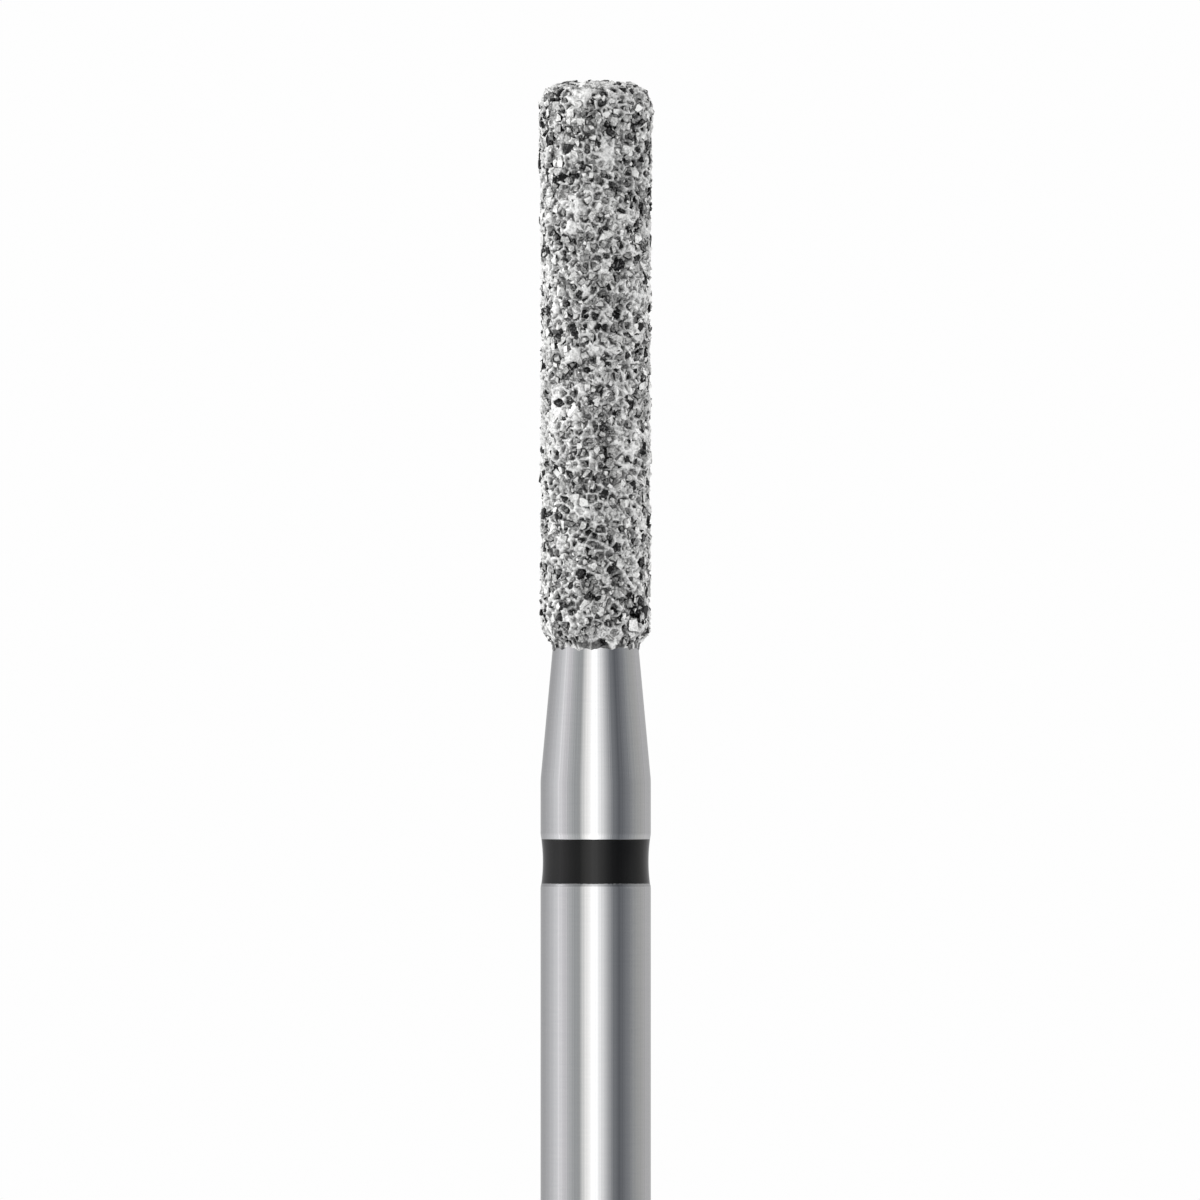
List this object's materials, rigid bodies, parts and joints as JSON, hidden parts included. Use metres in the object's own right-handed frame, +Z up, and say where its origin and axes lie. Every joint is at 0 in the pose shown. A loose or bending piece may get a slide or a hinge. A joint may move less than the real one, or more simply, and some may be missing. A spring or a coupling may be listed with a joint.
{
  "type": "dental bur",
  "caption": "Friction-grip dental bur: long cylindrical head coated in coarse diamond grit, tapered neck, and a slim steel shank with a black grit-code ring.",
  "frame": {"origin": "centre of the flat end face of the shank", "axes": "+Z runs up the bur's axis, from the shank's end to the cutting tip; X and Y are across it"},
  "size_m": [0.0016, 0.0016, 0.022],
  "materials": {
    "steel": "polished, with fine turning lines",
    "ring_paint": "semi-gloss baked paint",
    "diamond_grit": "diamond grains half sunk in nickel plating"
  },
  "bodies": {
    "root": {"steel_blank": "steel", "colour_ring": "ring_paint", "diamond_coating": "diamond_grit"}
  },
  "joints": []
}
